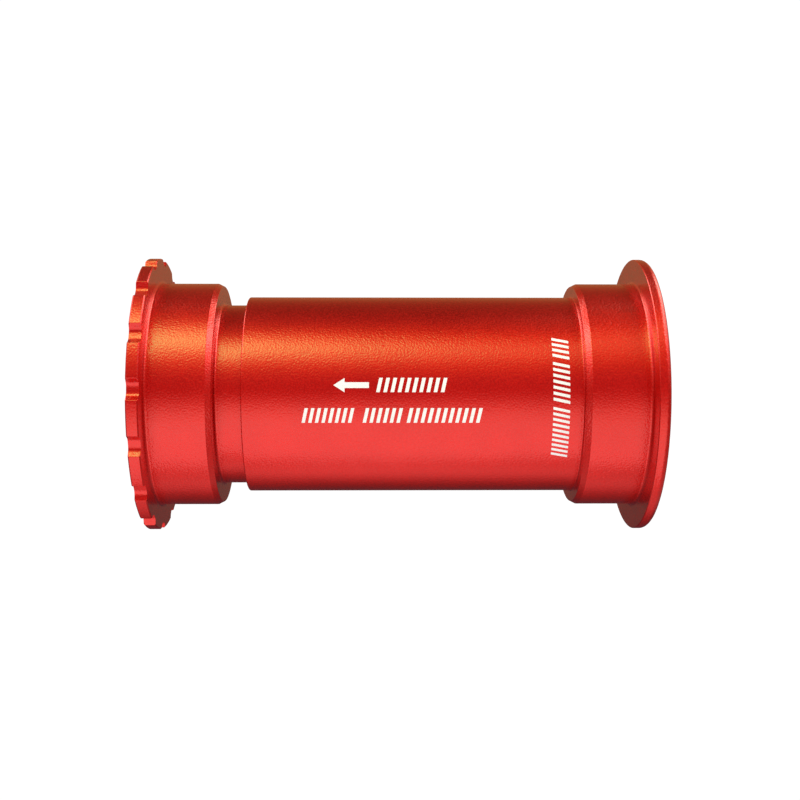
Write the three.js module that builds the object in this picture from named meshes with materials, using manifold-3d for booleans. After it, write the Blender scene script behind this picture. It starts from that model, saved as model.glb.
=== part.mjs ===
// Thread-together press-fit bottom bracket for a 24 mm crank spindle.
// Millimetres, +Z up. The crank axis is X, the drive side is +X, and the origin is on the axis,
// halfway between the two flanges.
import * as THREE from 'three';
import { mergeVertices } from 'three/addons/utils/BufferGeometryUtils.js';
import Module from 'manifold-3d';

const wasm = await Module();
wasm.setup();

// The two cups and the sleeve
const flangeSpacing = 87.1;       // between the flanges' inner faces, where the frame's shell sits
const flangeThickness = 2.15;
const driveFlangeRadius = 25.05;
const notchedFlangeRadius = 25.15;
const rimRound = 1.2;             // outer edge of the plain drive-side flange
const rimChamfer = 0.35;
const rootFillet = 0.7;           // where a cup meets its flange
const cupRadius = 20.5;           // 41 mm press fit
const cupLength = 11.4;
const leadLength = 1.0;           // lead-in chamfer at a cup's inner end
const leadDepth = 0.5;
const sleeveRadius = 18;
const sleeveEnd = -27.35;         // mouth of the sleeve, towards the non-drive cup
const sleeveBore = 16.6;
const edgeBreak = 0.25;
const neckRadius = 16.5;
const neckBore = 15.2;
const neckFillet = 0.5;

// The thread between neck and sleeve, drawn as plain lands at their crests
const mouthRadius = 17.2;         // smooth counterbore that the O-ring seals on
const mouthEnd = -19.5;
const nutLandRadius = 17.0;
const nutLandEnd = -5;
const boltLandRadius = 16.9;
const boltLandStart = -22.5;
const boltLandEnd = -10.5;
const ringGrooveCentre = -25.3;
const ringGrooveHalf = 0.65;
const ringGrooveRadius = 16.1;
const ringSection = 0.45;         // radius of the O-ring's cross-section
const ringLift = 0.12;            // from the groove's floor to the O-ring

// Tool notches in the non-drive flange
const notchCount = 16;
const notchPhase = THREE.MathUtils.degToRad(1.8);
const notchDepth = 1.2;
const notchHalfMouth = 1.85;
const notchHalfFloor = 1.05;
const notchCornerRise = 0.2;      // bevel that eases the notch's floor corners
const notchCornerReach = 0.3;
const overcut = 1;                // how far a cutting tool runs past the flange's faces

// Cartridge bearing, 25 x 37 x 7 mm, and its covers. Depths are measured inboard from the
// flange's outer face.
const seatRadius = 18.5;
const seatDepth = 8.45;
const bearingFront = 1.4;
const bearingWidth = 7;
const raceOuterRadius = 18.46;
const raceLandRadius = 17.0;
const ringLandRadius = 14.0;
const ringBoreRadius = 12.5;
const pitchRadius = 15.5;
const ballCount = 14;
const ballRadius = 3.969 / 2;
const grooveRadius = 2.14;
const sealGap = 0.1;
const sealInset = 0.2;
const sealThickness = 0.75;
const cageInner = 14.75;
const cageOuter = 16.25;
const cageBack = 2.4;
const cageFront = -0.9;
const pocketRadius = 2.15;
const bushRadius = 12.46;
const bushBore = 12.0;            // 24 mm spindle
const bushFlangeRadius = 15.6;
const bushHubRadius = 14.2;
const bushStand = 0.5;            // the hub stands proud of the flange, for the crank to bear on
const coverOuter = 18.46;
const coverInner = 15.9;
const coverFront = 0.2;
const coverBevelDepth = 0.3;      // bevel round the cover's inner edge
const coverBevelWidth = 0.4;
const coverGap = 0.05;            // between the bearing's front face and its covers

const cupSegments = 48;
const ringSegments = 36;
const ballFacets = [8, 6];
const raceArcSteps = 4;

const flangeInner = flangeSpacing / 2;
const flangeOuter = flangeInner + flangeThickness;
const cupShoulder = flangeInner - cupLength;

const finishes = {
  anodised: new THREE.MeshStandardMaterial({ color: 0xc42f28, roughness: 0.5, metalness: 0.9 }),
  steel: new THREE.MeshStandardMaterial({ color: 0xc9ccd0, roughness: 0.2, metalness: 1 }),
  nylon: new THREE.MeshStandardMaterial({ color: 0xd8d2c0, roughness: 0.6, metalness: 0 }),
  rubber: new THREE.MeshStandardMaterial({ color: 0x1b1b1d, roughness: 0.8, metalness: 0 }),
  acetal: new THREE.MeshStandardMaterial({ color: 0x202124, roughness: 0.45, metalness: 0 }),
};

// Points on an arc in the half plane of a turned piece: axial position, then radius.
function arc(axial, radius, size, startDeg, endDeg, steps) {
  return Array.from({ length: steps + 1 }, (_, i) => {
    const angle = THREE.MathUtils.degToRad(startDeg + ((endDeg - startDeg) * i) / steps);
    return [axial + size * Math.cos(angle), radius + size * Math.sin(angle)];
  });
}

// A ring turned about X from a closed outline of [axial, radius] points.
function turned(outline, segments) {
  const points = outline.map(([axial, radius]) => new THREE.Vector2(radius, axial));
  if (THREE.ShapeUtils.area(points) < 0) points.reverse();
  points.push(points[0].clone());
  return new THREE.LatheGeometry(points, segments).rotateZ(-Math.PI / 2);
}

function solidOf(geometry) {
  const bare = geometry.clone();
  bare.deleteAttribute('normal');
  bare.deleteAttribute('uv');
  const merged = mergeVertices(bare, 1e-4);
  const vertProperties = Float32Array.from(merged.attributes.position.array);
  const triVerts = Uint32Array.from(merged.index.array);
  return new wasm.Manifold(new wasm.Mesh({ numProp: 3, vertProperties, triVerts }));
}

function geometryOf(solid) {
  const { vertProperties, triVerts } = solid.getMesh();
  const geometry = new THREE.BufferGeometry();
  geometry.setAttribute('position', new THREE.BufferAttribute(vertProperties, 3));
  geometry.setIndex(new THREE.BufferAttribute(triVerts, 1));
  geometry.computeVertexNormals();
  return geometry;
}

function cut(geometry, tools) {
  return geometryOf(tools.reduce((solid, tool) => solid.subtract(solidOf(tool)), solidOf(geometry)));
}

function piece(name, geometry, finish) {
  const mesh = new THREE.Mesh(geometry, finishes[finish]);
  mesh.name = name;
  return mesh;
}

// Outer face, bearing seat and shoulder that both cups share, on the drive side (+X).
function bearingMouth(boreRadius) {
  const seatEnd = flangeOuter - seatDepth;
  return [
    [seatEnd, boreRadius],
    [seatEnd, seatRadius],
    [flangeOuter - rimChamfer, seatRadius],
    [flangeOuter, seatRadius + rimChamfer],
  ];
}

// Press-fit surface from the flange's inner face to the shoulder, on the drive side (+X).
function cupSurface() {
  return [
    ...arc(flangeInner - rootFillet, cupRadius + rootFillet, rootFillet, 0, -90, 2),
    [cupShoulder + leadLength, cupRadius],
    [cupShoulder, cupRadius - leadDepth],
  ];
}

function mirrored(outline) {
  return outline.map(([axial, radius]) => [-axial, radius]);
}

function driveCupSleeve() {
  const outline = [
    ...bearingMouth(sleeveBore),
    ...arc(flangeOuter - rimRound, driveFlangeRadius - rimRound, rimRound, 0, 90, 3),
    [flangeInner + rimChamfer, driveFlangeRadius],
    [flangeInner, driveFlangeRadius - rimChamfer],
    ...cupSurface(),
    [cupShoulder, sleeveRadius + edgeBreak],
    [cupShoulder - edgeBreak, sleeveRadius],
    [sleeveEnd + edgeBreak, sleeveRadius],
    [sleeveEnd, sleeveRadius - edgeBreak],
    [sleeveEnd, mouthRadius],
    [mouthEnd, mouthRadius],
    [mouthEnd, nutLandRadius],
    [nutLandEnd, nutLandRadius],
    [nutLandEnd, sleeveBore],
  ];
  return turned(outline, cupSegments);
}

function toolNotch(index) {
  const floor = notchedFlangeRadius - notchDepth;
  const flare = (notchHalfMouth - notchHalfFloor) / notchDepth;
  const toolHeight = notchDepth + 2 * overcut;
  const halfWidthAt = (rise) => notchHalfFloor + flare * rise;
  const section = new THREE.Shape();
  section.moveTo(floor, notchCornerReach - notchHalfFloor);
  section.lineTo(floor + notchCornerRise, -halfWidthAt(notchCornerRise));
  section.lineTo(floor + toolHeight, -halfWidthAt(toolHeight));
  section.lineTo(floor + toolHeight, halfWidthAt(toolHeight));
  section.lineTo(floor + notchCornerRise, halfWidthAt(notchCornerRise));
  section.lineTo(floor, notchHalfFloor - notchCornerReach);
  section.closePath();
  const depth = flangeThickness + 2 * overcut;
  const tool = new THREE.ExtrudeGeometry(section, { depth, bevelEnabled: false });
  const turn = notchPhase + (index * 2 * Math.PI) / notchCount;
  const axial = new THREE.Vector3(1, 0, 0);
  const radial = new THREE.Vector3(0, -Math.cos(turn), Math.sin(turn));
  const sideways = new THREE.Vector3().crossVectors(axial, radial);
  const placing = new THREE.Matrix4().makeBasis(radial, sideways, axial);
  placing.setPosition(-flangeOuter - overcut, 0, 0);
  return tool.applyMatrix4(placing);
}

function nonDriveCup() {
  const outline = [
    ...mirrored([
      ...bearingMouth(neckBore),
      [flangeOuter, notchedFlangeRadius - rimChamfer],
      [flangeOuter - rimChamfer, notchedFlangeRadius],
      [flangeInner + rimChamfer, notchedFlangeRadius],
      [flangeInner, notchedFlangeRadius - rimChamfer],
      ...cupSurface(),
      ...arc(cupShoulder - neckFillet, neckRadius + neckFillet, neckFillet, 0, -90, 2),
    ]),
    [ringGrooveCentre - ringGrooveHalf, neckRadius],
    [ringGrooveCentre - ringGrooveHalf, ringGrooveRadius],
    [ringGrooveCentre + ringGrooveHalf, ringGrooveRadius],
    [ringGrooveCentre + ringGrooveHalf, neckRadius],
    [boltLandStart - edgeBreak, neckRadius],
    [boltLandStart, boltLandRadius],
    [boltLandEnd - edgeBreak, boltLandRadius],
    [boltLandEnd, boltLandRadius - edgeBreak],
    [boltLandEnd, neckBore],
  ];
  const notches = Array.from({ length: notchCount }, (_, i) => toolNotch(i));
  return cut(turned(outline, cupSegments), notches);
}

function neckRing() {
  const middle = ringGrooveRadius + ringLift + ringSection;
  const outline = arc(ringGrooveCentre, middle, ringSection, 30, 330, 5);
  return turned(outline, ringSegments);
}

// The bearing and its covers stand in a group whose origin is the centre of the flange's outer
// face, with +X pointing outboard, so a depth below the face is a negative X.
function bearingSide(side) {
  const group = new THREE.Group();
  const front = -bearingFront;
  const back = front - bearingWidth;
  const middle = front - bearingWidth / 2;
  const grooveAngle = THREE.MathUtils.radToDeg(Math.acos((raceLandRadius - pitchRadius) / grooveRadius));

  const outerRace = [
    [front, raceLandRadius],
    [front, raceOuterRadius],
    [back, raceOuterRadius],
    [back, raceLandRadius],
    ...arc(middle, pitchRadius, grooveRadius, 90 + grooveAngle, 90 - grooveAngle, raceArcSteps),
  ];
  const innerRace = [
    [front, ringLandRadius],
    [front, ringBoreRadius],
    [back, ringBoreRadius],
    [back, ringLandRadius],
    ...arc(middle, pitchRadius, grooveRadius, 270 - grooveAngle, 270 + grooveAngle, raceArcSteps),
  ];
  group.add(piece(`${side}_outer_race`, turned(outerRace, ringSegments), 'steel'));
  group.add(piece(`${side}_inner_race`, turned(innerRace, ringSegments), 'steel'));

  const seal = (outboardFace) => turned([
    [outboardFace, ringLandRadius + sealGap],
    [outboardFace, raceLandRadius - sealGap / 2],
    [outboardFace - sealThickness, raceLandRadius - sealGap / 2],
    [outboardFace - sealThickness, ringLandRadius + sealGap],
  ], ringSegments);
  group.add(piece(`${side}_outboard_seal`, seal(front - sealInset), 'rubber'));
  group.add(piece(`${side}_inboard_seal`, seal(back + sealInset + sealThickness), 'rubber'));

  // Crown cage: a ring inboard of the balls, with its pockets open towards the outboard side
  const cageOutline = [
    [middle - cageBack, cageInner],
    [middle - cageBack, cageOuter],
    [middle - cageFront, cageOuter],
    [middle - cageFront, cageInner],
  ];
  const ballPlaces = Array.from({ length: ballCount }, (_, i) => {
    const turn = (i * 2 * Math.PI) / ballCount;
    return [middle, pitchRadius * Math.cos(turn), pitchRadius * Math.sin(turn)];
  });
  const pockets = ballPlaces.map((place) =>
    new THREE.SphereGeometry(pocketRadius, ...ballFacets).translate(...place));
  group.add(piece(`${side}_ball_cage`, cut(turned(cageOutline, 2 * ballCount), pockets), 'nylon'));
  ballPlaces.forEach((place, i) => {
    const shape = new THREE.SphereGeometry(ballRadius, ...ballFacets);
    const ball = piece(`${side}_ball_${String(i + 1).padStart(2, '0')}`, shape, 'steel');
    ball.position.set(...place);
    group.add(ball);
  });

  const coverBack = front + coverGap;
  const bush = [
    [bushStand, bushBore],
    [bushStand, bushHubRadius],
    [-coverFront, bushHubRadius],
    [-coverFront, bushFlangeRadius],
    [coverBack, bushFlangeRadius],
    [coverBack, bushRadius],
    [back, bushRadius],
    [back, bushBore],
  ];
  const cover = [
    [-coverFront - coverBevelDepth, coverInner],
    [-coverFront, coverInner + coverBevelWidth],
    [-coverFront, coverOuter],
    [coverBack, coverOuter],
    [coverBack, coverInner],
  ];
  group.add(piece(`${side}_spindle_bush`, turned(bush, ringSegments), 'acetal'));
  group.add(piece(`${side}_dust_cover`, turned(cover, ringSegments), 'acetal'));
  return group;
}

const bracket = new THREE.Group();
bracket.add(piece('drive_cup_sleeve', driveCupSleeve(), 'anodised'));
bracket.add(piece('non_drive_cup', nonDriveCup(), 'anodised'));
bracket.add(piece('neck_o_ring', neckRing(), 'rubber'));

const driveBearing = bearingSide('drive');
driveBearing.position.x = flangeOuter;
bracket.add(driveBearing);

const nonDriveBearing = bearingSide('non_drive');
nonDriveBearing.position.x = -flangeOuter;
nonDriveBearing.rotation.z = Math.PI;
bracket.add(nonDriveBearing);

export default bracket;
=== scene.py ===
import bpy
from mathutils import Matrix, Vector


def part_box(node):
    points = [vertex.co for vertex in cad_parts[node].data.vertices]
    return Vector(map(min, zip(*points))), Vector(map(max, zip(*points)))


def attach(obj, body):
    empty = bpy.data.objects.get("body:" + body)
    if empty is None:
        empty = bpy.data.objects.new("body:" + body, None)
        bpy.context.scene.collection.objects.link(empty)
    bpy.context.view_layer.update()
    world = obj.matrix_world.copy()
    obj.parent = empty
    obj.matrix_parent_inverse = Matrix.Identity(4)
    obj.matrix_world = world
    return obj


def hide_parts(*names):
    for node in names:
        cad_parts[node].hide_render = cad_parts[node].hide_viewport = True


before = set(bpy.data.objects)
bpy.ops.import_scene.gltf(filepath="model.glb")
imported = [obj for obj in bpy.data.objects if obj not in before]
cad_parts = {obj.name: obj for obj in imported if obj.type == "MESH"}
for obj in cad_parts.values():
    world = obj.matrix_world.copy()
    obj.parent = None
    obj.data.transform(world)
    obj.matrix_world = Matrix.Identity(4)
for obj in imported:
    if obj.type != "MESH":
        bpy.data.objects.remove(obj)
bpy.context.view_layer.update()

import math

import bmesh
import bpy
from mathutils import Matrix, Vector

mm = 0.001
weldDistance = 1e-7  # metres; points nearer to each other than this are one point
studio = bpy.context.scene


# sRGB hex text to the linear colour that shaders take
def linearColour(hexText):
    channels = [int(hexText[i:i + 2], 16) / 255 for i in (1, 3, 5)]
    linear = [c / 12.92 if c <= 0.04045 else ((c + 0.055) / 1.055) ** 2.4 for c in channels]
    return (*linear, 1.0)


# links other nodes' outputs to the inputs of a node
def feed(tree, node, links):
    for key, source in links.items():
        tree.links.new(source, node.inputs[key])


# adds a node, sets its properties and inputs, and links its inputs to other nodes' outputs
def addNode(tree, kind, settings=None, links=None):
    node = tree.nodes.new(kind)
    for key, value in (settings or {}).items():
        if isinstance(key, int) or key in node.inputs:
            node.inputs[key].default_value = value
        else:
            setattr(node, key, value)
    feed(tree, node, links or {})
    return node


# puts (place, colour) stops on a colour ramp node
def setStops(node, stops):
    elements = node.color_ramp.elements
    while len(elements) < len(stops):
        elements.new(0.5)
    for element, (position, colour) in zip(elements, stops):
        element.position = position
        element.color = colour


# rounds the corners of a closed outline; a corner is (axial, radius, rounding) in millimetres
def roundedOutline(corners, stepDegrees=15):
    nearlyStraight = math.radians(178)
    mostOfSide = 0.49  # so that the roundings at both ends of a side never meet
    points = []
    for index, (axial, radius, rounding) in enumerate(corners):
        here = Vector((axial, radius))
        before = Vector(corners[index - 1][:2]) - here
        after = Vector(corners[(index + 1) % len(corners)][:2]) - here
        opening = before.angle(after)
        if rounding <= 0 or opening > nearlyStraight:
            points.append(here)
            continue
        reach = rounding / math.tan(opening / 2)
        reach = min(reach, mostOfSide * before.length, mostOfSide * after.length)
        size = reach * math.tan(opening / 2)
        bisector = (before.normalized() + after.normalized()).normalized()
        centre = here + bisector * (size / math.sin(opening / 2))
        startArm = here + before.normalized() * reach - centre
        endArm = here + after.normalized() * reach - centre
        turn = math.atan2(startArm.cross(endArm), startArm.dot(endArm))
        steps = max(2, math.ceil(abs(math.degrees(turn)) / stepDegrees))
        for step in range(steps + 1):
            points.append(centre + Matrix.Rotation(turn * step / steps, 2) @ startArm)
    return points


# a mesh's smooth shading, with the edges sharper than the limit kept crisp
def shade(mesh, sharpDegrees=32):
    shaped = bmesh.new()
    shaped.from_mesh(mesh)
    bmesh.ops.remove_doubles(shaped, verts=shaped.verts, dist=weldDistance)
    bmesh.ops.recalc_face_normals(shaped, faces=shaped.faces)
    for face in shaped.faces:
        face.smooth = True
    for edge in shaped.edges:
        edge.smooth = edge.calc_face_angle(0) < math.radians(sharpDegrees)
    shaped.to_mesh(mesh)
    shaped.free()


# puts a finished mesh in the scene, riding on its body in place of CAD nodes
def place(name, mesh, body, finish, nodes=()):
    piece = bpy.data.objects.new(name, mesh)
    studio.collection.objects.link(piece)
    if finish is not None:
        mesh.materials.clear()
        mesh.materials.append(finish)
    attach(piece, body)
    if nodes:
        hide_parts(*nodes)
    return piece


# a point close to each end of every long straight run, so that the shading of a rounded corner
# stays in the corner and the wall beside it is lit as straight
def heldOutline(outline, closeBy=0.08, longRun=0.8):
    held = []
    for here, there in zip(outline, outline[1:] + outline[:1]):
        held.append(here)
        run = there - here
        if run.length > longRun:
            held += [here + run.normalized() * closeBy, there - run.normalized() * closeBy]
    return held


# turns a closed outline about X; columns are (angle, largest radius) pairs round the axis
def turnedMesh(name, outline, columns):
    outline = heldOutline(outline)
    points = []
    faces = []
    rows = len(outline)
    for angle, limit in columns:
        for axial, radius in outline:
            held = min(radius, limit)
            points.append((axial * mm, -held * math.cos(angle) * mm, held * math.sin(angle) * mm))
    for column in range(len(columns)):
        beside = (column + 1) % len(columns)
        for row in range(rows):
            above = (row + 1) % rows
            faces.append((column * rows + row, column * rows + above,
                          beside * rows + above, beside * rows + row))
    mesh = bpy.data.meshes.new(name)
    mesh.from_pydata(points, [], faces)
    shade(mesh)
    return mesh


# columns for a plain turned piece
def evenColumns(count):
    return [(2 * math.pi * i / count, math.inf) for i in range(count)]


# runs a node tree with its named inputs and returns what it makes as a plain mesh
def grownMesh(name, tree, values):
    holder = bpy.data.objects.new(name + "_holder", bpy.data.meshes.new(name + "_holder"))
    modifier = holder.modifiers.new(name, "NODES")
    modifier.node_group = tree
    sockets = {item.name: item.identifier for item in tree.interface.items_tree
               if item.item_type == "SOCKET" and item.in_out == "INPUT"}
    for key, value in values.items():
        modifier[sockets[key]] = value
    studio.collection.objects.link(holder)
    evaluated = holder.evaluated_get(bpy.context.evaluated_depsgraph_get())
    mesh = bpy.data.meshes.new_from_object(evaluated)
    mesh.name = name
    holder.modifiers.remove(modifier)
    bpy.data.objects.remove(holder)
    return mesh


# a geometry node tree with named inputs, and its input and output nodes
def newTree(name, inputs):
    tree = bpy.data.node_groups.new(name, "GeometryNodeTree")
    for label, kind in inputs.items():
        tree.interface.new_socket(label, in_out="INPUT", socket_type=kind)
    tree.interface.new_socket("Geometry", in_out="OUTPUT", socket_type="NodeSocketGeometry")
    return tree, addNode(tree, "NodeGroupInput"), addNode(tree, "NodeGroupOutput")


# real instances, their shading, one material, and the tree's output
def finishTree(tree, given, output, geometry, smooth=True):
    real = addNode(tree, "GeometryNodeRealizeInstances", links={"Geometry": geometry})
    smoothed = addNode(tree, "GeometryNodeSetShadeSmooth", {"Shade Smooth": smooth},
                       {"Geometry": real.outputs["Geometry"]})
    painted = addNode(tree, "GeometryNodeSetMaterial", links={
        "Geometry": smoothed.outputs["Geometry"], "Material": given.outputs["Material"]})
    tree.links.new(painted.outputs["Geometry"], output.inputs["Geometry"])


# a material with its Principled shader set, and the object's own coordinates for its patterns
def newMaterial(name, surface):
    material = bpy.data.materials.new(name)
    material.use_nodes = True
    tree = material.node_tree
    shader = tree.nodes["Principled BSDF"]
    for key, value in surface.items():
        shader.inputs[key].default_value = value
    place3d = addNode(tree, "ShaderNodeTexCoord").outputs["Object"]
    return material, tree, shader, place3d


# finishes a material: a pattern's value tints it between two colours and raises it by a real depth
def tintAndRaise(tree, shader, pattern, look):
    tint = addNode(tree, "ShaderNodeValToRGB", links={"Fac": pattern})
    setStops(tint, [
        (look["darkAt"], linearColour(look["dark"])), (look["paleAt"], linearColour(look["pale"]))])
    relief = addNode(tree, "ShaderNodeBump", {
        "Strength": look["relief"], "Distance": look["depthMm"] * mm}, {"Height": pattern})
    feed(tree, shader, {"Base Color": tint.outputs["Color"], "Normal": relief.outputs["Normal"]})


# Bead-blasted, red-dyed anodised aluminium: blasting leaves a fine matt grain that glitters where
# the light changes, the dyed oxide tints what the metal reflects deep red, and its clear sealed
# top adds a paler satin reflection.
def anodisedAluminium():
    look = {
        "deepDye": "#d81811", "dye": "#e6211a", "deepAt": 0.36, "dyeAt": 0.64,
        "blotchMm": 8.0, "grainMm": 0.31, "grainShare": 0.6, "depthMm": 0.015, "topDepthMm": 0.036,
        "smooth": 0.36, "rough": 0.42, "smoothAt": 0.35, "roughAt": 0.65,
    }
    material, tree, shader, place3d = newMaterial("beadBlastedRedAnodisedAluminium", {
        "Metallic": 1.0, "Coat Weight": 1.0, "Coat Roughness": 0.17, "Coat IOR": 1.6})
    # the real grain is about half this size, drawn coarser so that it shows
    grain = addNode(tree, "ShaderNodeTexNoise", {"Scale": 1 / (look["grainMm"] * mm), "Detail": 0.0},
                    {"Vector": place3d})
    blotch = addNode(tree, "ShaderNodeTexNoise", {"Scale": 1 / (look["blotchMm"] * mm), "Detail": 2.0},
                     {"Vector": place3d})
    depth = addNode(tree, "ShaderNodeMix", {0: look["grainShare"]}, {
        2: blotch.outputs["Fac"], 3: grain.outputs["Fac"]})
    tint = addNode(tree, "ShaderNodeValToRGB", links={"Fac": depth.outputs[0]})
    setStops(tint, [
        (look["deepAt"], linearColour(look["deepDye"])), (look["dyeAt"], linearColour(look["dye"]))])
    gloss = addNode(tree, "ShaderNodeMapRange", {
        "From Min": look["smoothAt"], "From Max": look["roughAt"],
        "To Min": look["smooth"], "To Max": look["rough"]}, {"Value": grain.outputs["Fac"]})
    relief = addNode(tree, "ShaderNodeBump", {"Distance": look["depthMm"] * mm},
                     {"Height": grain.outputs["Fac"]})
    topRelief = addNode(tree, "ShaderNodeBump", {"Distance": look["topDepthMm"] * mm},
                        {"Height": grain.outputs["Fac"]})
    feed(tree, shader, {
        "Base Color": tint.outputs["Color"], "Roughness": gloss.outputs["Result"],
        "Normal": relief.outputs["Normal"], "Coat Normal": topRelief.outputs["Normal"]})
    return material


# lines round the crank axis, as turning and grinding leave them: noise over the place along the
# axis and the distance from it
def turnedLines(tree, place3d, lineMm):
    parts = addNode(tree, "ShaderNodeSeparateXYZ", links={"Vector": place3d})
    across = addNode(tree, "ShaderNodeCombineXYZ", links={"Y": parts.outputs["Y"], "Z": parts.outputs["Z"]})
    reach = addNode(tree, "ShaderNodeVectorMath", {"operation": "LENGTH"}, {0: across.outputs["Vector"]})
    line = addNode(tree, "ShaderNodeCombineXYZ", links={"X": parts.outputs["X"], "Y": reach.outputs["Value"]})
    noise = addNode(tree, "ShaderNodeTexNoise", {
        "Scale": 1 / (lineMm * mm), "Detail": 3.0, "Roughness": 0.6}, {"Vector": line.outputs["Vector"]})
    return noise.outputs["Fac"]


# Ground bearing steel: neutral bright metal with fine grinding lines round the axis.
def groundSteel():
    look = {"pale": "#d3d6da", "dark": "#b5b9bf", "paleAt": 0.65, "darkAt": 0.35,
            "lineMm": 0.16, "depthMm": 0.006, "relief": 0.5}
    material, tree, shader, place3d = newMaterial("groundBearingSteel", {"Metallic": 1.0, "Roughness": 0.24})
    tintAndRaise(tree, shader, turnedLines(tree, place3d, look["lineMm"]), look)
    return material


# Lapped chrome steel balls: a near mirror with a trace of oil haze.
def lappedSteel():
    look = {"pale": "#e2e4e8", "dark": "#cfd2d8", "paleAt": 0.6, "darkAt": 0.4,
            "hazeMm": 1.3, "depthMm": 0.001, "relief": 0.1}
    material, tree, shader, place3d = newMaterial("lappedBallSteel", {"Metallic": 1.0, "Roughness": 0.08})
    haze = addNode(tree, "ShaderNodeTexNoise", {"Scale": 1 / (look["hazeMm"] * mm), "Detail": 3.0},
                   {"Vector": place3d})
    tintAndRaise(tree, shader, haze.outputs["Fac"], look)
    return material


# Moulded natural nylon: warm milky white with a soft sheen and a finely textured skin.
def mouldedNylon():
    look = {"pale": "#ddd6c2", "dark": "#cfc7b0", "paleAt": 0.6, "darkAt": 0.4,
            "grainMm": 0.3, "depthMm": 0.02, "relief": 0.3}
    material, tree, shader, place3d = newMaterial("mouldedNylon", {
        "Roughness": 0.5, "IOR": 1.53, "Subsurface Weight": 0.15, "Subsurface Scale": 0.6 * mm})
    skin = addNode(tree, "ShaderNodeTexNoise", {"Scale": 1 / (look["grainMm"] * mm), "Detail": 4.0},
                   {"Vector": place3d})
    tintAndRaise(tree, shader, skin.outputs["Fac"], look)
    return material


# Moulded nitrile rubber: near-black, matt, with a faintly pitted skin.
def nitrileRubber():
    look = {"pale": "#26262a", "dark": "#151517", "paleAt": 0.62, "darkAt": 0.38,
            "pitMm": 0.22, "depthMm": 0.02, "relief": 0.35}
    material, tree, shader, place3d = newMaterial("nitrileRubber", {"Roughness": 0.62, "IOR": 1.52})
    pits = addNode(tree, "ShaderNodeTexNoise", {
        "Scale": 1 / (look["pitMm"] * mm), "Detail": 3.0, "Roughness": 0.6}, {"Vector": place3d})
    tintAndRaise(tree, shader, pits.outputs["Fac"], look)
    return material


# Turned black acetal: smooth dark plastic with fine tool lines round the axis.
def turnedAcetal():
    look = {"pale": "#2b2c30", "dark": "#1c1d20", "paleAt": 0.65, "darkAt": 0.35,
            "lineMm": 0.2, "depthMm": 0.008, "relief": 0.5}
    material, tree, shader, place3d = newMaterial("turnedBlackAcetal", {"Roughness": 0.36, "IOR": 1.48})
    tintAndRaise(tree, shader, turnedLines(tree, place3d, look["lineMm"]), look)
    return material


# Spark-textured black moulding: a fine even stipple that scatters the light.
def mouldedPlastic():
    look = {"pale": "#2e2f33", "dark": "#1d1e21", "paleAt": 0.62, "darkAt": 0.38,
            "stippleMm": 0.2, "depthMm": 0.02, "relief": 0.3}
    material, tree, shader, place3d = newMaterial("mouldedBlackPlastic", {"Roughness": 0.48, "IOR": 1.5})
    stipple = addNode(tree, "ShaderNodeTexNoise", {"Scale": 1 / (look["stippleMm"] * mm), "Detail": 2.0},
                      {"Vector": place3d})
    tintAndRaise(tree, shader, stipple.outputs["Fac"], look)
    return material


# White printing ink: a thin, slightly chalky film that takes on the blasted grain under it.
def printingInk():
    look = {"pale": "#fbfbfa", "dark": "#f0efec", "paleAt": 0.55, "darkAt": 0.35,
            "grainMm": 0.3, "depthMm": 0.01, "relief": 0.2}
    material, tree, shader, place3d = newMaterial("whitePrintingInk", {"Roughness": 0.5, "IOR": 1.5})
    speck = addNode(tree, "ShaderNodeTexNoise", {"Scale": 1 / (look["grainMm"] * mm), "Detail": 2.0},
                    {"Vector": place3d})
    tintAndRaise(tree, shader, speck.outputs["Fac"], look)
    return material


redAluminium = anodisedAluminium()
raceSteel = groundSteel()
ballSteel = lappedSteel()
cageNylon = mouldedNylon()
blackRubber = nitrileRubber()
blackAcetal = turnedAcetal()
blackPlastic = mouldedPlastic()
whiteInk = printingInk()
print("materials ready")


camera = {
    "distanceMm": 227.35, "azimuth": -0.955, "aimXMm": 0.46, "lensMm": 54.64, "sensorMm": 36,
    "shiftUp": -0.0076, "nearM": 0.01, "farM": 20,
}


def addCamera():
    eye = bpy.data.objects.new("camera", bpy.data.cameras.new("camera"))
    studio.collection.objects.link(eye)
    turn = math.radians(camera["azimuth"])
    back = Vector((math.sin(turn), -math.cos(turn), 0))
    eye.location = Vector((camera["aimXMm"] * mm, 0, 0)) + back * camera["distanceMm"] * mm
    eye.rotation_euler = (-back).to_track_quat("-Z", "Y").to_euler()
    eye.data.lens = camera["lensMm"]
    eye.data.sensor_width = camera["sensorMm"]
    eye.data.shift_y = camera["shiftUp"]
    eye.data.clip_start = camera["nearM"]
    eye.data.clip_end = camera["farM"]
    studio.camera = eye


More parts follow.
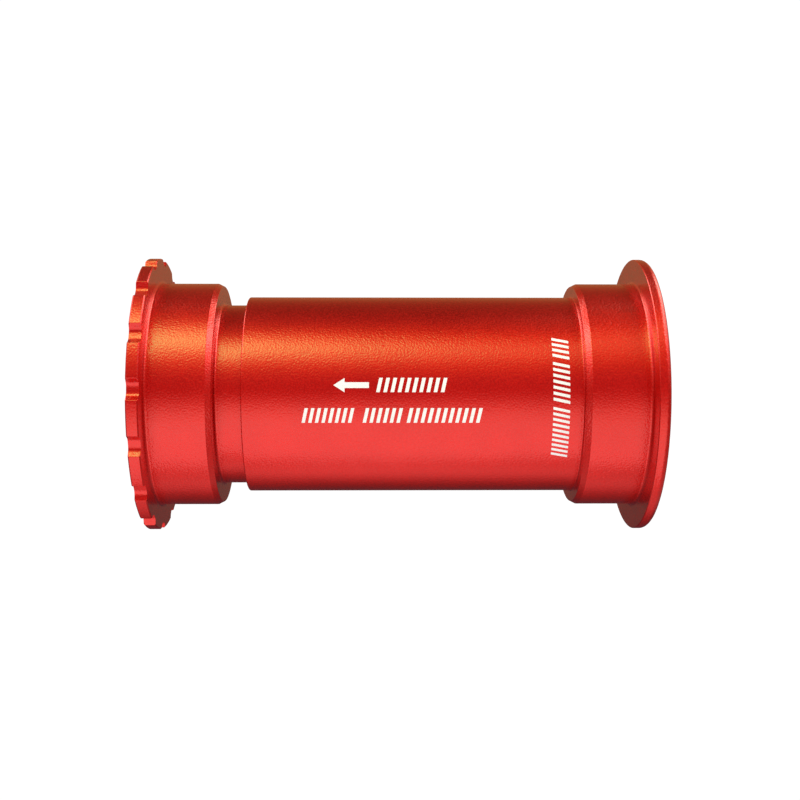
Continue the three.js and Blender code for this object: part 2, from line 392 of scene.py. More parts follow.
# The studio, painted by direction. Each list runs from straight down to straight up as (rise in
# degrees, strength, colour): a warm softbox hangs high in front and fades towards the right.
lighting = {
    "frontLeft": [
        (-90, 1.4, "#ffbcb7"), (-70, 1.42, "#ffd8d4"), (-50, 1.32, "#ffe7e1"), (-35, 1.34, "#fff3ec"),
        (-20, 1.32, "#ffd9cb"), (-8, 0.7, "#ffa79e"), (4, 0.34, "#ff6b6b"), (16, 0.52, "#ff8e89"),
        (28, 0.84, "#ffa67c"), (38, 1.35, "#fffba4"), (46, 4.5, "#a3ff9a"), (54, 6.9, "#8dff96"),
        (62, 3.9, "#bcff9c"), (70, 1.3, "#ffed91"), (77, 0.66, "#ffae6d"), (90, 0.13, "#ff8484")],
    "frontRight": [
        (-90, 1.4, "#ffbcb7"), (-70, 1.38, "#ffd9d3"), (-50, 1.24, "#ffe5de"), (-35, 1.22, "#ffeadf"),
        (-20, 1.2, "#ffd5c5"), (-8, 0.76, "#ffa69b"), (4, 0.42, "#ff7171"), (16, 0.54, "#ff8787"),
        (28, 0.66, "#ff8b6d"), (38, 0.86, "#ffad7b"), (46, 1.02, "#ffca8f"), (54, 1.1, "#ffd397"),
        (62, 0.82, "#ffa86f"), (70, 0.48, "#ff895b"), (77, 0.24, "#ff7e63"), (90, 0.1, "#ff9595")],
    "sides": [
        (-90, 0.7, "#ffbcb7"), (-45, 0.5, "#ffaaa6"), (-15, 0.42, "#ff9286"), (5, 0.42, "#ff9286"),
        (22, 0.9, "#ffd5c5"), (36, 2.2, "#fff5e4"), (50, 4, "#ffffed"), (62, 1.1, "#ffefd1"),
        (75, 0.45, "#ffaa82"), (90, 0.2, "#ff9589")],
    "behind": [
        (-90, 1.4, "#ffb2ac"), (-72, 1.05, "#ff9a96"), (-56, 0.32, "#ff8181"), (-42, 0.12, "#ff8989"),
        (-20, 0.05, "#ffcbe7"), (-5, 0.12, "#ffc9bc"), (8, 0.36, "#ffc089"), (25, 0.36, "#ffad68"),
        (45, 0.26, "#ff8e5f"), (90, 0.08, "#ffa5a5")],
    "leftToRight": (-26.0, 14.0), "frontToSide": (34.0, 54.0), "sideToBehind": (125.0, 150.0),
    "onDullThings": 1.0, "backdrop": 1.05,
}


def addStudioLight():
    world = bpy.data.worlds.new("softStudio")
    studio.world = world
    world.use_nodes = True
    tree = world.node_tree
    tree.nodes.clear()
    direction = addNode(tree, "ShaderNodeTexCoord").outputs["Generated"]
    parts = addNode(tree, "ShaderNodeSeparateXYZ", links={"Vector": direction})
    risen = addNode(tree, "ShaderNodeMath", {"operation": "ARCSINE"}, {0: parts.outputs["Z"]})
    forward = addNode(tree, "ShaderNodeMath", {"operation": "MULTIPLY", 1: -1.0}, {0: parts.outputs["Y"]})
    turned = addNode(tree, "ShaderNodeMath", {"operation": "ARCTAN2"},
                     {0: parts.outputs["X"], 1: forward.outputs[0]})
    heading = addNode(tree, "ShaderNodeMath", {"operation": "DEGREES"}, {0: turned.outputs[0]})
    sideways = addNode(tree, "ShaderNodeMath", {"operation": "ABSOLUTE"}, {0: heading.outputs[0]})
    # the ramps run over rises from straight down to straight up
    share = addNode(tree, "ShaderNodeMapRange", {"From Min": -math.pi / 2, "From Max": math.pi / 2},
                    {"Value": risen.outputs[0]})
    painted = {}
    for part in ("frontLeft", "frontRight", "sides", "behind"):
        painted[part] = addNode(tree, "ShaderNodeValToRGB", links={"Fac": share.outputs["Result"]})
        setStops(painted[part], [
            ((rise + 90) / 180, tuple(c * strength for c in linearColour(colour)[:3]) + (1,))
            for rise, strength, colour in lighting[part]])
    around = painted["frontLeft"].outputs["Color"]
    for part, crossing, angle in (("frontRight", "leftToRight", heading), ("sides", "frontToSide", sideways),
                                  ("behind", "sideToBehind", sideways)):
        start, end = lighting[crossing]
        crossed = addNode(tree, "ShaderNodeMapRange", {
            "interpolation_type": "SMOOTHSTEP", "From Min": start, "From Max": end},
            {"Value": angle.outputs[0]})
        mixed = addNode(tree, "ShaderNodeMix", {"data_type": "RGBA"}, {
            0: crossed.outputs["Result"], 6: around, 7: painted[part].outputs["Color"]})
        around = mixed.outputs[2]
    studioLight = addNode(tree, "ShaderNodeBackground", links={"Color": around})
    # dull things, such as the ink, take an even white light, and the camera sees a white backdrop
    white = (1, 1, 1, 1)
    evenLight = addNode(tree, "ShaderNodeBackground", {
        "Strength": lighting["onDullThings"], "Color": white})
    backdrop = addNode(tree, "ShaderNodeBackground", {"Strength": lighting["backdrop"], "Color": white})
    ray = addNode(tree, "ShaderNodeLightPath")
    dullOrNot = addNode(tree, "ShaderNodeMixShader", links={
        0: ray.outputs["Is Diffuse Ray"], 1: studioLight.outputs[0], 2: evenLight.outputs[0]})
    seenOrNot = addNode(tree, "ShaderNodeMixShader", links={
        0: ray.outputs["Is Camera Ray"], 1: dullOrNot.outputs[0], 2: backdrop.outputs[0]})
    addNode(tree, "ShaderNodeOutputWorld", links={"Surface": seenOrNot.outputs[0]})


addCamera()
addStudioLight()
studio.view_settings.view_transform = "Standard"
print("camera and light ready")


# sizes in millimetres; edge and the names ending in Round are roundings of corners
cup = {
    "flangeThickness": 2.15, "cupRadius": 20.5, "cupLength": 11.4, "leadLength": 1.0, "leadDepth": 0.5,
    "seatRadius": 18.5, "seatDepth": 8.45, "mouthChamfer": 0.4, "driveChamfer": 0.15, "notchedChamfer": 0.2,
    "edge": 0.08, "rimRound": 1.2, "rootFillet": 0.5, "leadRound": 0.12, "shoulderRound": 0.1,
    "seatRound": 0.1, "boreRound": 0.15, "columns": 360,
}
sleeve = {
    "radius": 18.0, "bore": 16.6, "mouthRadius": 17.2, "mouthLength": 7.85, "nutRadius": 17.0,
    "nutEnd": -5.0, "endRound": 0.22, "mouthRound": 0.12, "nutRound": 0.1,
}
neck = {
    "radius": 16.5, "bore": 15.2, "fillet": 0.5, "grooveFromShoulder": 6.94, "grooveHalf": 0.65,
    "grooveRadius": 16.1, "grooveRound": 0.1, "edge": 0.06, "endChamfer": 0.4, "endRound": 0.1,
}
thread = {
    "fromShoulder": 9.74, "length": 12.0, "pitch": 1.0, "root": 16.36, "crest": 16.9, "foot": 0.84,
    "tip": 0.16, "relief": 0.2, "runIn": 0.7, "sunk": 0.03, "pointsPerTurn": 72,
    "taperShare": 0.04, "taperFrom": 0.05,
}
notch = {
    "count": 16, "phase": 1.8, "depth": 1.2, "halfMouth": 1.85, "halfFloor": 1.05, "mouthRound": 0.15,
    "floorRound": 1.3, "runOut": 1.5, "margin": 0.12, "uncut": 1.0, "stepDegrees": 18, "landSteps": 12,
}


# the bearing seat and the flange's outer face, from the bore outwards; sign is +1 on the drive side
def seatCorners(outer, bore, sign):
    seatEnd = outer - sign * cup["seatDepth"]
    return [
        (seatEnd, bore, cup["boreRound"]),
        (seatEnd, cup["seatRadius"], cup["seatRound"]),
        (outer - sign * cup["mouthChamfer"], cup["seatRadius"], cup["edge"]),
        (outer, cup["seatRadius"] + cup["mouthChamfer"], cup["edge"]),
    ]


# the press-fit surface, from the flange's inner face to the cup's shoulder
def cupCorners(inner, sign, flangeRadius, chamfer):
    shoulder = inner - sign * cup["cupLength"]
    return [
        (inner + sign * chamfer, flangeRadius, cup["edge"]),
        (inner, flangeRadius - chamfer, cup["edge"]),
        (inner, cup["cupRadius"], cup["rootFillet"]),
        (shoulder + sign * cup["leadLength"], cup["cupRadius"], cup["leadRound"]),
        (shoulder, cup["cupRadius"] - cup["leadDepth"], cup["shoulderRound"]),
    ]


# the plain flange, its cup and the long sleeve, turned as one
def makeDriveCup():
    low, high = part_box("drive_cup_sleeve")
    outer = high.x / mm
    inner = outer - cup["flangeThickness"]
    shoulder = inner - cup["cupLength"]
    mouth = low.x / mm
    flangeRadius = high.z / mm
    corners = [
        *seatCorners(outer, sleeve["bore"], 1),
        (outer, flangeRadius, cup["rimRound"]),
        *cupCorners(inner, 1, flangeRadius, cup["driveChamfer"]),
        (shoulder, sleeve["radius"], sleeve["endRound"]),
        (mouth, sleeve["radius"], sleeve["endRound"]),
        (mouth, sleeve["mouthRadius"], sleeve["mouthRound"]),
        (mouth + sleeve["mouthLength"], sleeve["mouthRadius"], 0),
        (mouth + sleeve["mouthLength"], sleeve["nutRadius"], sleeve["nutRound"]),
        (sleeve["nutEnd"], sleeve["nutRadius"], sleeve["nutRound"]),
        (sleeve["nutEnd"], sleeve["bore"], sleeve["nutRound"]),
    ]
    mesh = turnedMesh("drive_cup_and_sleeve", roundedOutline(corners), evenColumns(cup["columns"]))
    place("drive_cup_and_sleeve", mesh, "drive_side", redAluminium, ["drive_cup_sleeve"])


# columns round the notched flange: the notch's own outline, then the land up to the next one
def notchedColumns(flangeRadius):
    floor = flangeRadius - notch["depth"]
    farAside = notch["halfMouth"] + notch["runOut"]
    rimAt = [math.sqrt(flangeRadius ** 2 - aside ** 2) for aside in (farAside, notch["halfMouth"])]
    outline = roundedOutline([
        (rimAt[0], -farAside, 0),
        (rimAt[1], -notch["halfMouth"], notch["mouthRound"]),
        (floor, -notch["halfFloor"], notch["floorRound"]),
        (floor, notch["halfFloor"], notch["floorRound"]),
        (rimAt[1], notch["halfMouth"], notch["mouthRound"]),
        (rimAt[0], farAside, 0),
    ], notch["stepDegrees"])[1:-1]
    pitchAngle = 2 * math.pi / notch["count"]
    cutColumns = [(math.atan2(aside, outward), math.hypot(outward, aside)) for outward, aside in outline]
    firstLand = cutColumns[-1][0]
    landWidth = pitchAngle - 2 * firstLand
    landColumns = [(firstLand + landWidth * step / notch["landSteps"], flangeRadius + notch["uncut"])
                   for step in range(1, notch["landSteps"])]
    return [(math.radians(notch["phase"]) + index * pitchAngle + angle, limit)
            for index in range(notch["count"]) for angle, limit in cutColumns + landColumns]


# the notched flange, its cup and the neck that screws into the sleeve; returns where the thread starts
def makeNonDriveCup():
    low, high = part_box("non_drive_cup")
    outer = low.x / mm
    inner = outer + cup["flangeThickness"]
    shoulder = inner + cup["cupLength"]
    end = high.x / mm
    flangeRadius = max(high.z, high.y, -low.z, -low.y) / mm
    grooveAt = shoulder + neck["grooveFromShoulder"]
    threadAt = shoulder + thread["fromShoulder"]
    # a ring just inside the notch floors keeps the notches out of the flat faces' shading
    insideNotches = flangeRadius - notch["depth"] - notch["margin"]
    rimSide, *cupSide = cupCorners(inner, -1, flangeRadius, cup["notchedChamfer"])
    corners = [
        *seatCorners(outer, neck["bore"], -1),
        (outer, insideNotches, 0),
        (outer, flangeRadius - cup["notchedChamfer"], cup["edge"]),
        (outer + cup["notchedChamfer"], flangeRadius, cup["edge"]),
        rimSide,
        cupSide[0],
        (inner, insideNotches, 0),
        *cupSide[1:],
        (shoulder, neck["radius"], neck["fillet"]),
        (grooveAt - neck["grooveHalf"], neck["radius"], neck["edge"]),
        (grooveAt - neck["grooveHalf"], neck["grooveRadius"], neck["grooveRound"]),
        (grooveAt + neck["grooveHalf"], neck["grooveRadius"], neck["grooveRound"]),
        (grooveAt + neck["grooveHalf"], neck["radius"], neck["edge"]),
        (threadAt - thread["relief"], neck["radius"], neck["edge"]),
        (threadAt, thread["root"], 0),
        (end - neck["endChamfer"], thread["root"], neck["endRound"]),
        (end, thread["root"] - neck["endChamfer"], neck["endRound"]),
        (end, neck["bore"], cup["boreRound"]),
    ]
    mesh = turnedMesh("non_drive_cup_and_neck", roundedOutline(corners), notchedColumns(flangeRadius))
    place("non_drive_cup_and_neck", mesh, "non_drive_side", redAluminium, ["non_drive_cup"])
    return threadAt


# the neck's thread: a spiral ridge of trapezoid section, tapering away at both ends
def threadTree():
    tree, given, output = newTree("threadRidge", {
        "Turns": "NodeSocketFloat", "Pitch": "NodeSocketFloat", "Root radius": "NodeSocketFloat",
        "Ridge width": "NodeSocketFloat", "Crest width": "NodeSocketFloat", "Ridge height": "NodeSocketFloat",
        "Start": "NodeSocketFloat", "Material": "NodeSocketMaterial"})
    middle = addNode(tree, "ShaderNodeMath", {"operation": "MULTIPLY_ADD", 1: 0.5}, {
        0: given.outputs["Ridge height"], 2: given.outputs["Root radius"]})
    length = addNode(tree, "ShaderNodeMath", {"operation": "MULTIPLY"}, {
        0: given.outputs["Turns"], 1: given.outputs["Pitch"]})
    spiral = addNode(tree, "GeometryNodeCurveSpiral", {"Resolution": thread["pointsPerTurn"]}, {
        "Rotations": given.outputs["Turns"], "Start Radius": middle.outputs[0],
        "End Radius": middle.outputs[0], "Height": length.outputs[0]})
    upright = addNode(tree, "GeometryNodeSetCurveNormal", {"mode": "Z_UP"},
                      {"Curve": spiral.outputs["Curve"]})
    along = addNode(tree, "GeometryNodeSplineParameter").outputs["Factor"]
    fromEnd = addNode(tree, "ShaderNodeMath", {"operation": "PINGPONG", 1: 0.5}, {0: along})
    taper = addNode(tree, "ShaderNodeMapRange", {
        "From Min": 0.0, "From Max": thread["taperShare"], "To Min": thread["taperFrom"]},
        {"Value": fromEnd.outputs[0]})
    scaled = addNode(tree, "GeometryNodeSetCurveRadius", links={
        "Curve": upright.outputs["Curve"], "Radius": taper.outputs["Result"]})
    section = addNode(tree, "GeometryNodeCurvePrimitiveQuadrilateral", {"mode": "TRAPEZOID", "Offset": 0.0}, {
        "Bottom Width": given.outputs["Ridge width"], "Top Width": given.outputs["Crest width"],
        "Height": given.outputs["Ridge height"]})
    quarterTurn = addNode(tree, "GeometryNodeTransform", {"Rotation": (0, 0, math.pi / 2)},
                          {"Geometry": section.outputs["Curve"]})
    ridge = addNode(tree, "GeometryNodeCurveToMesh", {"Fill Caps": True}, {
        "Curve": scaled.outputs["Curve"], "Profile Curve": quarterTurn.outputs["Geometry"]})
    start = addNode(tree, "ShaderNodeCombineXYZ", links={"X": given.outputs["Start"]})
    laid = addNode(tree, "GeometryNodeTransform", {"Rotation": (0, math.pi / 2, 0)}, {
        "Geometry": ridge.outputs["Mesh"], "Translation": start.outputs["Vector"]})
    finishTree(tree, given, output, laid.outputs["Geometry"], smooth=False)
    return tree


def makeThread(threadAt):
    mesh = grownMesh("neck_thread", threadTree(), {
        "Turns": (thread["length"] - 2 * thread["runIn"]) / thread["pitch"],
        "Pitch": thread["pitch"] * mm, "Root radius": (thread["root"] - thread["sunk"]) * mm,
        "Ridge width": thread["foot"] * mm, "Crest width": thread["tip"] * mm,
        "Ridge height": (thread["crest"] - thread["root"] + thread["sunk"]) * mm,
        "Start": (threadAt + thread["runIn"]) * mm, "Material": redAluminium})
    place("neck_thread", mesh, "non_drive_side", None)


neckRing = {"thickness": 0.9, "sides": 20, "columns": 180}


def makeNeckRing():
    low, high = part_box("neck_o_ring")
    middle = (low.x + high.x) / 2 / mm
    half = neckRing["thickness"] / 2
    centre = high.z / mm - half
    turns = [2 * math.pi * i / neckRing["sides"] for i in range(neckRing["sides"])]
    outline = [Vector((middle + half * math.cos(a), centre + half * math.sin(a))) for a in turns]
    mesh = turnedMesh("neck_ring", outline, evenColumns(neckRing["columns"]))
    place("neck_ring", mesh, "thread_follower", blackRubber, ["neck_o_ring"])


makeDriveCup()
makeThread(makeNonDriveCup())
makeNeckRing()
print("cups, neck thread and ring ready")


# An arrow and bands of slanted strokes, in millimetres along the axis and up round the sleeve.
# A band is (left, right, bottom, top, number of strokes).
marks = {
    "filmMm": 0.012, "clearMm": 0.002, "slant": 0.22, "strokeShare": 0.5, "arrowSteps": 6,
    "arrow": {"tip": -11.3, "shoulder": -9.4, "tail": -5.2, "middle": 1.52,
              "halfHead": 1.24, "halfShaft": 0.5, "halfTip": 0.02},
    "across": [(-4.0, 8.4, 0.3, 2.8, 10), (-16.85, -7.7, -5.05, -2.45, 8), (-6.3, 0.7, -5.05, -2.45, 6),
               (1.3, 14.5, -5.05, -2.45, 11)],
    "upright": [(26.7, 29.6, -11.9, -2.3, 10), (26.7, 29.6, -1.7, 5.6, 7), (26.7, 29.6, 6.1, 10.3, 4)],
}


# a band of strokes bent round the sleeve: the strokes are instances on a line, then sheared and wrapped
def strokeBandTree():
    tree, given, output = newTree("strokeBand", {
        "Strokes": "NodeSocketInt", "Length": "NodeSocketFloat", "Height": "NodeSocketFloat",
        "Stroke share": "NodeSocketFloat", "Slant": "NodeSocketFloat", "Turned": "NodeSocketFloat",
        "Centre": "NodeSocketVector", "Sleeve radius": "NodeSocketFloat", "Film": "NodeSocketFloat",
        "Material": "NodeSocketMaterial"})
    step = addNode(tree, "ShaderNodeMath", {"operation": "DIVIDE"}, {
        0: given.outputs["Length"], 1: given.outputs["Strokes"]}).outputs[0]
    shorter = addNode(tree, "ShaderNodeMath", {"operation": "SUBTRACT"}, {
        0: step, 1: given.outputs["Length"]}).outputs[0]
    first = addNode(tree, "ShaderNodeMath", {"operation": "MULTIPLY", 1: 0.5}, {0: shorter}).outputs[0]
    inked = addNode(tree, "ShaderNodeMath", {"operation": "MULTIPLY"}, {
        0: step, 1: given.outputs["Stroke share"]}).outputs[0]
    line = addNode(tree, "GeometryNodeMeshLine", links={
        "Count": given.outputs["Strokes"],
        "Start Location": addNode(tree, "ShaderNodeCombineXYZ", links={"X": first}).outputs[0],
        "Offset": addNode(tree, "ShaderNodeCombineXYZ", links={"X": step}).outputs[0]})
    stroke = addNode(tree, "GeometryNodeMeshGrid", {"Vertices X": 3, "Vertices Y": 7}, {
        "Size X": inked, "Size Y": given.outputs["Height"]})
    row = addNode(tree, "GeometryNodeInstanceOnPoints", links={
        "Points": line.outputs["Mesh"], "Instance": stroke.outputs["Mesh"]})
    real = addNode(tree, "GeometryNodeRealizeInstances", links={"Geometry": row.outputs["Instances"]})
    spot = addNode(tree, "GeometryNodeInputPosition")
    flat = addNode(tree, "ShaderNodeSeparateXYZ", links={"Vector": spot.outputs["Position"]})
    leaned = addNode(tree, "ShaderNodeMath", {"operation": "MULTIPLY_ADD"}, {
        0: flat.outputs["Y"], 1: given.outputs["Slant"], 2: flat.outputs["X"]})
    sheared = addNode(tree, "ShaderNodeCombineXYZ", links={"X": leaned.outputs[0], "Y": flat.outputs["Y"]})
    turned = addNode(tree, "ShaderNodeVectorRotate", {"rotation_type": "Z_AXIS"}, {
        "Vector": sheared.outputs[0], "Angle": given.outputs["Turned"]})
    moved = addNode(tree, "ShaderNodeVectorMath", {"operation": "ADD"}, {
        0: turned.outputs["Vector"], 1: given.outputs["Centre"]})
    onSleeve = addNode(tree, "ShaderNodeSeparateXYZ", links={"Vector": moved.outputs["Vector"]})
    # an arm from the axis towards -Y, swung up by the angle the height takes round the sleeve
    arm = addNode(tree, "ShaderNodeMath", {"operation": "MULTIPLY", 1: -1.0}, {
        0: given.outputs["Sleeve radius"]}).outputs[0]
    swing = addNode(tree, "ShaderNodeMath", {"operation": "DIVIDE"}, {
        0: onSleeve.outputs["Y"], 1: arm}).outputs[0]
    level = addNode(tree, "ShaderNodeCombineXYZ", links={"X": onSleeve.outputs["X"], "Y": arm})
    wrapped = addNode(tree, "ShaderNodeVectorRotate", {"rotation_type": "X_AXIS"}, {
        "Vector": level.outputs[0], "Angle": swing})
    bent = addNode(tree, "GeometryNodeSetPosition", links={
        "Geometry": real.outputs["Geometry"], "Position": wrapped.outputs[0]})
    film = addNode(tree, "GeometryNodeExtrudeMesh", {"mode": "FACES", "Individual": False}, {
        "Mesh": bent.outputs["Geometry"], "Offset Scale": given.outputs["Film"]})
    underside = addNode(tree, "GeometryNodeFlipFaces", links={"Mesh": bent.outputs["Geometry"]})
    closed = addNode(tree, "GeometryNodeJoinGeometry")
    tree.links.new(film.outputs["Mesh"], closed.inputs[0])
    tree.links.new(underside.outputs["Mesh"], closed.inputs[0])
    merged = addNode(tree, "GeometryNodeMergeByDistance", {"Distance": weldDistance},
                     {"Geometry": closed.outputs["Geometry"]})
    finishTree(tree, given, output, merged.outputs["Geometry"], smooth=False)
    return tree


# a point on the sleeve's front, from its places along the axis and up round the sleeve
def wrapOnSleeve(along, up, radius):
    angle = up / radius
    return Vector((along * mm, -radius * math.cos(angle) * mm, radius * math.sin(angle) * mm))


# the arrow that shows which way the sleeve goes in, cut from quads and given the film's thickness
def arrowMesh(base):
    shape = marks["arrow"]
    steps = marks["arrowSteps"]
    columns = [(shape["tip"], shape["halfTip"]), (shape["shoulder"], shape["halfHead"]),
               (shape["shoulder"], shape["halfShaft"]), (shape["tail"], shape["halfShaft"])]
    layers = []
    for radius in (base, base + marks["filmMm"]):
        for along, half in columns:
            layers.append([wrapOnSleeve(along, shape["middle"] + half * (2 * i / steps - 1), radius)
                           for i in range(steps + 1)])
    made = bmesh.new()
    grid = [[made.verts.new(point) for point in layer] for layer in layers]
    for low, high in ((0, 1), (2, 3), (4, 5), (6, 7)):
        for i in range(steps):
            made.faces.new((grid[low][i], grid[low][i + 1], grid[high][i + 1], grid[high][i]))
    for bottom, top in ((0, 4), (1, 5), (2, 6), (3, 7)):
        for i in range(steps):
            made.faces.new((grid[bottom][i], grid[bottom][i + 1], grid[top][i + 1], grid[top][i]))
    for near, far in ((0, 1), (2, 3)):
        for i in (0, steps):
            made.faces.new((grid[near][i], grid[far][i], grid[far + 4][i], grid[near + 4][i]))
    bmesh.ops.recalc_face_normals(made, faces=made.faces)
    mesh = bpy.data.meshes.new("arrow_mark")
    made.to_mesh(mesh)
    made.free()
    return mesh


def makeBand(name, tree, band, upright, base):
    left, right, bottom, top, strokes = band
    along = (right - left) * mm
    up = (top - bottom) * mm
    mesh = grownMesh(name, tree, {
        "Strokes": strokes, "Length": up if upright else along, "Height": along if upright else up,
        "Stroke share": marks["strokeShare"], "Slant": marks["slant"],
        "Turned": math.pi / 2 if upright else 0.0,
        "Centre": ((left + right) / 2 * mm, (bottom + top) / 2 * mm, 0.0),
        "Sleeve radius": base * mm, "Film": marks["filmMm"] * mm, "Material": whiteInk})
    place(name, mesh, "drive_side", None)


def makeMarks():
    base = sleeve["radius"] + marks["clearMm"]
    tree = strokeBandTree()
    place("arrow_mark", arrowMesh(base), "drive_side", whiteInk)
    for index, band in enumerate(marks["across"]):
        makeBand(f"stroke_band_{index + 1}", tree, band, False, base)
    for index, band in enumerate(marks["upright"]):
        makeBand(f"side_band_{index + 1}", tree, band, True, base)


makeMarks()
print("printed marks ready")


# sizes in millimetres; edge and the names ending in Edge or Round are roundings of corners
bearing = {
    "front": 1.4, "width": 7.0, "outerRadius": 18.46, "outerLand": 17.0, "innerLand": 14.0, "bore": 12.5,
    "pitchRadius": 15.5, "track": 2.14, "trackSteps": 14, "ballCount": 14, "ballRadius": 1.9845,
    "cornerRound": 0.3, "edge": 0.1, "gap": 0.05, "columns": 180,
}
cage = {
    "inner": 14.75, "outer": 16.25, "back": 2.4, "front": -0.9, "pocket": 2.13, "edge": 0.1, "columns": 224,
}
seal = {
    "inset": 0.2, "thickness": 0.75, "inner": 14.1, "outer": 16.95, "lip": 0.35, "lipStep": 0.12,
    "bead": 0.5, "dish": 0.22, "dishFrom": 0.75, "edge": 0.1, "lipEdge": 0.08, "dishRound": 0.15,
}
bush = {
    "radius": 12.46, "bore": 12.0, "flange": 15.6, "hub": 14.2, "stand": 0.5, "recess": 0.2,
    "mouthRound": 0.35, "hubRound": 0.3, "stepRound": 0.15, "flangeRound": 0.2, "backEdge": 0.1,
    "rootRound": 0.08, "endRound": 0.15, "endBoreRound": 0.25,
}
cover = {
    "outer": 18.46, "inner": 15.9, "front": 0.2, "slopeLength": 0.3, "slopeDepth": 0.4,
    "groove": 0.25, "grooveMouth": (16.75, 17.35), "grooveFloor": (16.85, 17.25),
    "backEdge": 0.1, "innerRound": 0.08, "grooveRound": 0.06, "outerRound": 0.15,
}


# mirrors corners from the drive side's sense (inboard is negative) onto either side
def sided(corners, outer, sign):
    return [(outer + sign * axial, radius, rounding) for axial, radius, rounding in corners]


# a turned piece in place; outer is where the flange's outer face lies
def ringPiece(name, corners, outer, sign, body, finish, nodes):
    outline = roundedOutline(sided(corners, outer, sign))
    mesh = turnedMesh(name, outline, evenColumns(bearing["columns"]))
    place(name, mesh, body, finish, nodes)


# The ball track's arc as a run of plain corners. They start at its outboard end, but the outline
# comes to them from the inboard end, so a plain land closes the track over.
def trackCorners(middle, land):
    rise = land - bearing["pitchRadius"]
    sign = math.copysign(1, rise)
    half = math.acos(abs(rise) / bearing["track"])
    steps = bearing["trackSteps"]
    arms = [half - 2 * half * i / steps for i in range(steps + 1)]
    return [(middle + bearing["track"] * math.sin(a),
             bearing["pitchRadius"] + sign * bearing["track"] * math.cos(a), 0) for a in arms]


# spheres standing in a circle round the crank axis, as instances on its points
def spheresRound(tree, given, radius):
    circle = addNode(tree, "GeometryNodeMeshCircle", links={
        "Vertices": given.outputs["Balls"], "Radius": given.outputs["Pitch radius"]})
    standing = addNode(tree, "GeometryNodeTransform", {"Rotation": (0, math.pi / 2, 0)}, {
        "Geometry": circle.outputs["Mesh"], "Translation": given.outputs["Centre"]})
    sphere = addNode(tree, "GeometryNodeMeshUVSphere", {"Segments": 32, "Rings": 20},
                     {"Radius": given.outputs[radius]})
    row = addNode(tree, "GeometryNodeInstanceOnPoints", links={
        "Points": standing.outputs["Geometry"], "Instance": sphere.outputs["Mesh"]})
    return row.outputs["Instances"]


def ballTree():
    tree, given, output = newTree("ballRing", {
        "Balls": "NodeSocketInt", "Pitch radius": "NodeSocketFloat", "Ball radius": "NodeSocketFloat",
        "Centre": "NodeSocketVector", "Material": "NodeSocketMaterial"})
    finishTree(tree, given, output, spheresRound(tree, given, "Ball radius"))
    return tree


# the crown cage: a plain ring with a pocket cut for each ball
def pocketTree():
    tree, given, output = newTree("pocketCut", {
        "Ring": "NodeSocketObject", "Balls": "NodeSocketInt", "Pitch radius": "NodeSocketFloat",
        "Pocket radius": "NodeSocketFloat", "Centre": "NodeSocketVector", "Material": "NodeSocketMaterial"})
    ring = addNode(tree, "GeometryNodeObjectInfo", links={"Object": given.outputs["Ring"]})
    cutters = addNode(tree, "GeometryNodeRealizeInstances", links={
        "Geometry": spheresRound(tree, given, "Pocket radius")})
    pocketed = addNode(tree, "GeometryNodeMeshBoolean", {"operation": "DIFFERENCE", "solver": "EXACT"}, {
        "Mesh 1": ring.outputs["Geometry"], "Mesh 2": cutters.outputs["Geometry"]})
    finishTree(tree, given, output, pocketed.outputs["Mesh"])
    return tree


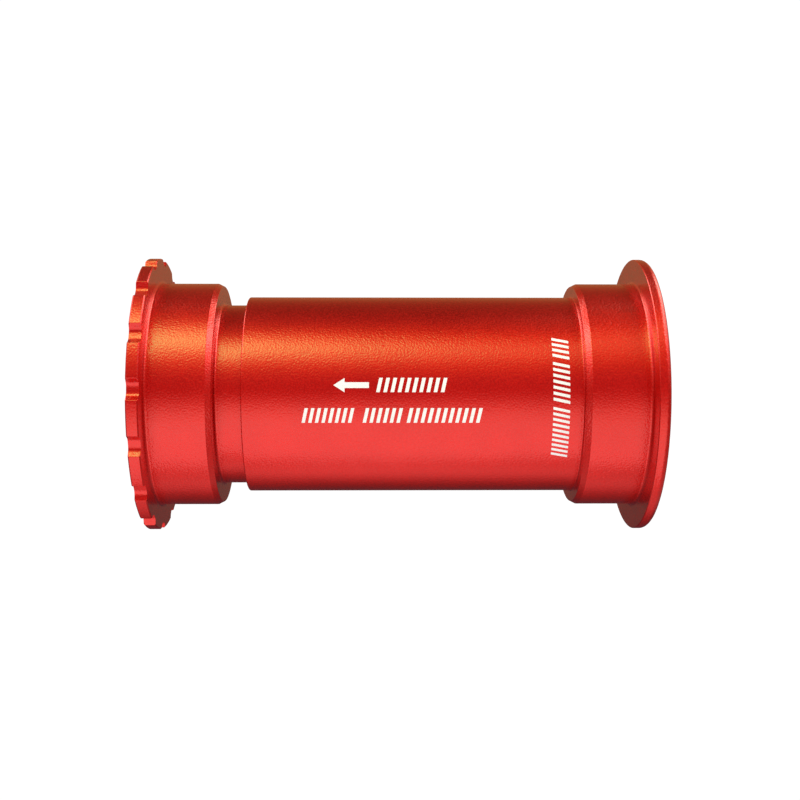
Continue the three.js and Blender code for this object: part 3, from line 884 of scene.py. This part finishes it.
# what one cup holds: races, seals, balls in their cage, spindle bush and dust cover
def makeSide(side, sign, balls, pockets):
    node = {"drive": "drive_cup_sleeve", "non_drive": "non_drive_cup"}[side]
    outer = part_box(node)[1 if sign > 0 else 0].x / mm
    front = -bearing["front"]
    back = front - bearing["width"]
    middle = (front + back) / 2
    fixed = f"{side}_side"
    spinning = f"{side}_spindle_ring"
    rolling = f"{side}_ball_set"

    ringPiece(f"{side}_race_outer", [
        (front, bearing["outerLand"], bearing["edge"]),
        (front, bearing["outerRadius"], bearing["cornerRound"]),
        (back, bearing["outerRadius"], bearing["cornerRound"]),
        (back, bearing["outerLand"], bearing["edge"]),
        *trackCorners(middle, bearing["outerLand"]),
    ], outer, sign, fixed, raceSteel, [f"{side}_outer_race"])
    ringPiece(f"{side}_race_inner", [
        (front, bearing["innerLand"], bearing["edge"]),
        (front, bearing["bore"], bearing["cornerRound"]),
        (back, bearing["bore"], bearing["cornerRound"]),
        (back, bearing["innerLand"], bearing["edge"]),
        *trackCorners(middle, bearing["innerLand"]),
    ], outer, sign, spinning, raceSteel, [f"{side}_inner_race"])

    # each seal is a dished rubber shield with a bead round its outer edge and a lip at its inner one
    for where, face, into in (("outboard", front - seal["inset"], -1), ("inboard", back + seal["inset"], 1)):
        ringPiece(f"{side}_{where}_shield", [
            (face, seal["inner"] + seal["lip"], seal["edge"]),
            (face + into * seal["lipStep"], seal["inner"], seal["lipEdge"]),
            (face + into * seal["thickness"], seal["inner"], seal["lipEdge"]),
            (face + into * seal["thickness"], seal["outer"], seal["edge"]),
            (face, seal["outer"], seal["edge"]),
            (face, seal["outer"] - seal["bead"], seal["edge"]),
            (face + into * seal["dish"], seal["outer"] - seal["dishFrom"], seal["dishRound"]),
            (face + into * seal["dish"], seal["inner"] + seal["dishFrom"], seal["dishRound"]),
        ], outer, sign, fixed, blackRubber, [f"{side}_{where}_seal"])

    centre = ((outer + sign * middle) * mm, 0.0, 0.0)
    shared = {"Balls": bearing["ballCount"], "Pitch radius": bearing["pitchRadius"] * mm, "Centre": centre}
    ballMesh = grownMesh(f"{side}_balls", balls, {
        **shared, "Ball radius": bearing["ballRadius"] * mm, "Material": ballSteel})
    numbered = [f"{side}_ball_{i + 1:02d}" for i in range(bearing["ballCount"])]
    place(f"{side}_balls", ballMesh, rolling, None, numbered)

    blank = turnedMesh(f"{side}_cage_blank", roundedOutline(sided([
        (middle - cage["back"], cage["inner"], cage["edge"]),
        (middle - cage["back"], cage["outer"], cage["edge"]),
        (middle - cage["front"], cage["outer"], cage["edge"]),
        (middle - cage["front"], cage["inner"], cage["edge"]),
    ], outer, sign)), evenColumns(cage["columns"]))
    blankHolder = bpy.data.objects.new(f"{side}_cage_blank", blank)
    studio.collection.objects.link(blankHolder)
    cageMesh = grownMesh(f"{side}_crown_cage", pockets, {
        **shared, "Ring": blankHolder, "Pocket radius": cage["pocket"] * mm, "Material": cageNylon})
    bpy.data.objects.remove(blankHolder)
    shade(cageMesh)
    place(f"{side}_crown_cage", cageMesh, rolling, None, [f"{side}_ball_cage"])

    onBearing = front + bearing["gap"]
    ringPiece(f"{side}_bush", [
        (bush["stand"], bush["bore"], bush["mouthRound"]),
        (bush["stand"], bush["hub"], bush["hubRound"]),
        (-bush["recess"], bush["hub"], bush["stepRound"]),
        (-bush["recess"], bush["flange"], bush["flangeRound"]),
        (onBearing, bush["flange"], bush["backEdge"]),
        (onBearing, bush["radius"], bush["rootRound"]),
        (back, bush["radius"], bush["endRound"]),
        (back, bush["bore"], bush["endBoreRound"]),
    ], outer, sign, spinning, blackAcetal, [f"{side}_spindle_bush"])
    grooveFloor = -cover["front"] - cover["groove"]
    ringPiece(f"{side}_mouth_cover", [
        (onBearing, cover["inner"], cover["backEdge"]),
        (-cover["front"] - cover["slopeLength"], cover["inner"], cover["innerRound"]),
        (-cover["front"], cover["inner"] + cover["slopeDepth"], cover["innerRound"]),
        (-cover["front"], cover["grooveMouth"][0], cover["grooveRound"]),
        (grooveFloor, cover["grooveFloor"][0], cover["grooveRound"]),
        (grooveFloor, cover["grooveFloor"][1], cover["grooveRound"]),
        (-cover["front"], cover["grooveMouth"][1], cover["grooveRound"]),
        (-cover["front"], cover["outer"], cover["outerRound"]),
        (onBearing, cover["outer"], cover["backEdge"]),
    ], outer, sign, fixed, blackPlastic, [f"{side}_dust_cover"])
    print(side, "bearing and covers ready")


ballMaker = ballTree()
pocketMaker = pocketTree()
makeSide("drive", 1, ballMaker, pocketMaker)
makeSide("non_drive", -1, ballMaker, pocketMaker)
